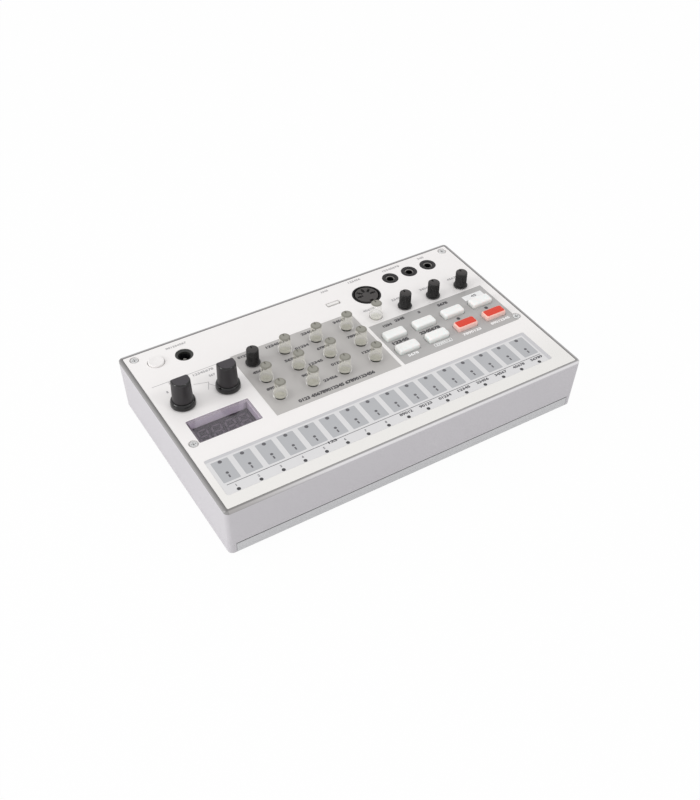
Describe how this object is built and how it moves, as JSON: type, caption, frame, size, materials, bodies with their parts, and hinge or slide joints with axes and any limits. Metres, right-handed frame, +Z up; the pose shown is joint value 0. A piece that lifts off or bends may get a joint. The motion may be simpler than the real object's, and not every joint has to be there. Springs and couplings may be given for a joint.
{
  "type": "compact sampler",
  "caption": "Low tabletop sampler in a grey case with a white panel: large, small and clear knobs, rubber keys, a display window, sockets and a touch-pad strip; battery door below.",
  "frame": {"origin": "under the middle of the case, on the plane that the feet stand on", "axes": "+X to the right along the front, +Y to the back, +Z up"},
  "size_m": [0.193, 0.115, 0.0457],
  "materials": {
    "case_grey": "fine satin",
    "rim_smoke": "smoke tinted, glossy",
    "panel_white": "satin white",
    "inlay_grey": "satin print",
    "touch_frost": "frosted sheet",
    "touch_grey": "silver grey print",
    "window_tint": "smoky violet, clear",
    "display_black": "dark face",
    "screw_steel": "bright zinc",
    "foot_rubber": "black rubber",
    "box_plastic": "moulded",
    "contact_metal": "plated strip",
    "speaker_metal": "black frame",
    "board_green": "solder mask",
    "part_dark": "moulded",
    "lamp": "clear lamp",
    "socket_black": "moulded black",
    "button_white": "satin white",
    "knob_black": "semi-gloss black",
    "shaft_metal": "turned",
    "knob_clear": "clear acrylic, frosted top",
    "key_white": "translucent silicone",
    "key_red": "red-faced silicone"
  },
  "bodies": {
    "chassis": {"casing": "case_grey", "bottom_cover": "case_grey", "bezel": "rim_smoke", "front_panel": "panel_white", "knob_field": "inlay_grey", "key_field": "inlay_grey", "touch_sheet": "touch_frost", "touch_pads": "touch_grey", "display_window": "window_tint", "display_well": "panel_white", "display_module": "display_black", "panel_screws": "screw_steel", "cover_screws": "screw_steel", "board_screws": "screw_steel", "board_standoffs": "panel_white", "feet": "foot_rubber", "battery_box": "box_plastic", "battery_contacts": "contact_metal", "speaker": "speaker_metal", "main_board": "board_green", "jack_board": "board_green", "pots": "part_dark", "knob_leds": "lamp", "switches": "part_dark", "din_socket": "socket_black", "jack_left": "socket_black", "jack_middle": "socket_black", "jack_right": "socket_black", "power_inlet": "socket_black", "data_socket": "contact_metal"},
    "large_dial_left": {"large_knob_left": "knob_black", "large_shaft_left": "shaft_metal"},
    "large_dial_right": {"large_knob_right": "knob_black", "large_shaft_right": "shaft_metal"},
    "small_knob_1_body": {"small_knob_1": "knob_black"},
    "small_knob_2_body": {"small_knob_2": "knob_black"},
    "small_knob_3_body": {"small_knob_3": "knob_black"},
    "small_knob_4_body": {"small_knob_4": "knob_black"},
    "clear_knob_1_body": {"clear_knob_1": "knob_clear"},
    "clear_knob_2_body": {"clear_knob_2": "knob_clear"},
    "clear_knob_3_body": {"clear_knob_3": "knob_clear"},
    "clear_knob_4_body": {"clear_knob_4": "knob_clear"},
    "clear_knob_5_body": {"clear_knob_5": "knob_clear"},
    "clear_knob_6_body": {"clear_knob_6": "knob_clear"},
    "clear_knob_7_body": {"clear_knob_7": "knob_clear"},
    "clear_knob_8_body": {"clear_knob_8": "knob_clear"},
    "clear_knob_9_body": {"clear_knob_9": "knob_clear"},
    "clear_knob_10_body": {"clear_knob_10": "knob_clear"},
    "clear_knob_11_body": {"clear_knob_11": "knob_clear"},
    "clear_knob_12_body": {"clear_knob_12": "knob_clear"},
    "key_1_body": {"key_1": "key_white"},
    "key_2_body": {"key_2": "key_white"},
    "key_3_body": {"key_3": "key_white"},
    "key_4_body": {"key_4": "key_white"},
    "key_5_body": {"key_5": "key_white"},
    "key_6_body": {"key_6": "key_white"},
    "key_7_body": {"key_7": "key_red"},
    "key_8_body": {"key_8": "key_red"},
    "power_button_body": {"power_button": "button_white"},
    "battery_door_body": {"battery_door": "case_grey"}
  },
  "joints": [
    {"name": "large_knob_left_turn", "type": "hinge", "parent": "chassis", "child": "large_dial_left", "pos_m": [-0.08275, 0.01245, 0.0308], "axis": [0, 0, -1], "range_deg": [-150, 150]},
    {"name": "large_knob_right_turn", "type": "hinge", "parent": "chassis", "child": "large_dial_right", "pos_m": [-0.05965, 0.01245, 0.0308], "axis": [0, 0, -1], "range_deg": [-150, 150]},
    {"name": "small_knob_1_turn", "type": "hinge", "parent": "chassis", "child": "small_knob_1_body", "pos_m": [-0.04169, 0.02165, 0.0308], "axis": [0, 0, -1], "range_deg": [-150, 150]},
    {"name": "small_knob_2_turn", "type": "hinge", "parent": "chassis", "child": "small_knob_2_body", "pos_m": [0.04602, 0.02165, 0.0308], "axis": [0, 0, -1], "range_deg": [-150, 150]},
    {"name": "small_knob_3_turn", "type": "hinge", "parent": "chassis", "child": "small_knob_3_body", "pos_m": [0.06356, 0.02165, 0.0308], "axis": [0, 0, -1], "range_deg": [-150, 150]},
    {"name": "small_knob_4_turn", "type": "hinge", "parent": "chassis", "child": "small_knob_4_body", "pos_m": [0.0811, 0.02165, 0.0308], "axis": [0, 0, -1], "range_deg": [-150, 150]},
    {"name": "clear_knob_1_turn", "type": "hinge", "parent": "chassis", "child": "clear_knob_1_body", "pos_m": [-0.02415, 0.02165, 0.0308], "axis": [0, 0, -1], "range_deg": [-150, 150]},
    {"name": "clear_knob_2_turn", "type": "hinge", "parent": "chassis", "child": "clear_knob_2_body", "pos_m": [-0.00661, 0.02165, 0.0308], "axis": [0, 0, -1], "range_deg": [-150, 150]},
    {"name": "clear_knob_3_turn", "type": "hinge", "parent": "chassis", "child": "clear_knob_3_body", "pos_m": [0.01093, 0.02165, 0.0308], "axis": [0, 0, -1], "range_deg": [-150, 150]},
    {"name": "clear_knob_4_turn", "type": "hinge", "parent": "chassis", "child": "clear_knob_4_body", "pos_m": [0.02848, 0.02165, 0.0308], "axis": [0, 0, -1], "range_deg": [-150, 150]},
    {"name": "clear_knob_5_turn", "type": "hinge", "parent": "chassis", "child": "clear_knob_5_body", "pos_m": [-0.04169, 0.00805, 0.0308], "axis": [0, 0, -1], "range_deg": [-150, 150]},
    {"name": "clear_knob_6_turn", "type": "hinge", "parent": "chassis", "child": "clear_knob_6_body", "pos_m": [-0.02415, 0.00805, 0.0308], "axis": [0, 0, -1], "range_deg": [-150, 150]},
    {"name": "clear_knob_7_turn", "type": "hinge", "parent": "chassis", "child": "clear_knob_7_body", "pos_m": [-0.00661, 0.00805, 0.0308], "axis": [0, 0, -1], "range_deg": [-150, 150]},
    {"name": "clear_knob_8_turn", "type": "hinge", "parent": "chassis", "child": "clear_knob_8_body", "pos_m": [0.01093, 0.00805, 0.0308], "axis": [0, 0, -1], "range_deg": [-150, 150]},
    {"name": "clear_knob_9_turn", "type": "hinge", "parent": "chassis", "child": "clear_knob_9_body", "pos_m": [-0.04169, -0.00555, 0.0308], "axis": [0, 0, -1], "range_deg": [-150, 150]},
    {"name": "clear_knob_10_turn", "type": "hinge", "parent": "chassis", "child": "clear_knob_10_body", "pos_m": [-0.02415, -0.00555, 0.0308], "axis": [0, 0, -1], "range_deg": [-150, 150]},
    {"name": "clear_knob_11_turn", "type": "hinge", "parent": "chassis", "child": "clear_knob_11_body", "pos_m": [-0.00661, -0.00555, 0.0308], "axis": [0, 0, -1], "range_deg": [-150, 150]},
    {"name": "clear_knob_12_turn", "type": "hinge", "parent": "chassis", "child": "clear_knob_12_body", "pos_m": [0.01093, -0.00555, 0.0308], "axis": [0, 0, -1], "range_deg": [-150, 150]},
    {"name": "key_1_press", "type": "slide", "parent": "chassis", "child": "key_1_body", "axis": [0, 0, -1], "range_m": [0, 0.0008], "stiffness_N_per_m": 600, "springref_m": -0.0003},
    {"name": "key_2_press", "type": "slide", "parent": "chassis", "child": "key_2_body", "axis": [0, 0, -1], "range_m": [0, 0.0008], "stiffness_N_per_m": 600, "springref_m": -0.0003},
    {"name": "key_3_press", "type": "slide", "parent": "chassis", "child": "key_3_body", "axis": [0, 0, -1], "range_m": [0, 0.0008], "stiffness_N_per_m": 600, "springref_m": -0.0003},
    {"name": "key_4_press", "type": "slide", "parent": "chassis", "child": "key_4_body", "axis": [0, 0, -1], "range_m": [0, 0.0008], "stiffness_N_per_m": 600, "springref_m": -0.0003},
    {"name": "key_5_press", "type": "slide", "parent": "chassis", "child": "key_5_body", "axis": [0, 0, -1], "range_m": [0, 0.0008], "stiffness_N_per_m": 600, "springref_m": -0.0003},
    {"name": "key_6_press", "type": "slide", "parent": "chassis", "child": "key_6_body", "axis": [0, 0, -1], "range_m": [0, 0.0008], "stiffness_N_per_m": 600, "springref_m": -0.0003},
    {"name": "key_7_press", "type": "slide", "parent": "chassis", "child": "key_7_body", "axis": [0, 0, -1], "range_m": [0, 0.0008], "stiffness_N_per_m": 600, "springref_m": -0.0003},
    {"name": "key_8_press", "type": "slide", "parent": "chassis", "child": "key_8_body", "axis": [0, 0, -1], "range_m": [0, 0.0008], "stiffness_N_per_m": 600, "springref_m": -0.0003},
    {"name": "power_button_press", "type": "slide", "parent": "chassis", "child": "power_button_body", "axis": [0, 0, -1], "range_m": [0, 0.0008], "stiffness_N_per_m": 600, "springref_m": -0.0003},
    {"name": "battery_door_off", "type": "slide", "parent": "chassis", "child": "battery_door_body", "axis": [0, 0, -1], "range_m": [0, 0.025]}
  ]
}
